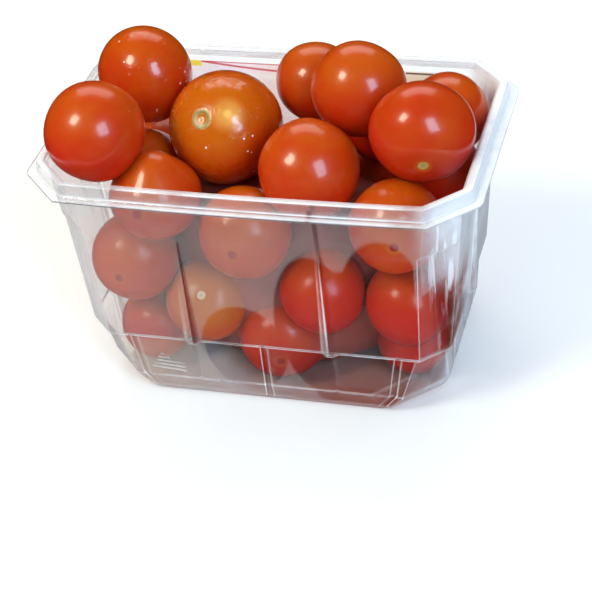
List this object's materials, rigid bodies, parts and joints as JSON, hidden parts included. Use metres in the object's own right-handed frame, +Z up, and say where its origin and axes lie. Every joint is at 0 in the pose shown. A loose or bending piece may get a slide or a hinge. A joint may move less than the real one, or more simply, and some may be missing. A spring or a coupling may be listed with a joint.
{
  "type": "tomato punnet",
  "caption": "Clear oblong plastic tray with cut corners, a turned-out lip and a waisted foot, heaped above its rim with small round tomatoes.",
  "frame": {"origin": "middle of the underside, on the surface that the punnet stands on", "axes": "+X along the long sides of the punnet, +Y from its bowed front to the labelled back, +Z up"},
  "size_m": [0.187, 0.121, 0.1397],
  "materials": {
    "clear_plastic": "clear thermoformed sheet, glossy",
    "label_paper": "printed, pale lilac ground, satin",
    "tomato_skin": "ripe tomato skin, orange-red, glossy"
  },
  "bodies": {
    "root": {"punnet": "clear_plastic", "back_label": "label_paper", "tomato_heap": "tomato_skin"}
  },
  "joints": []
}
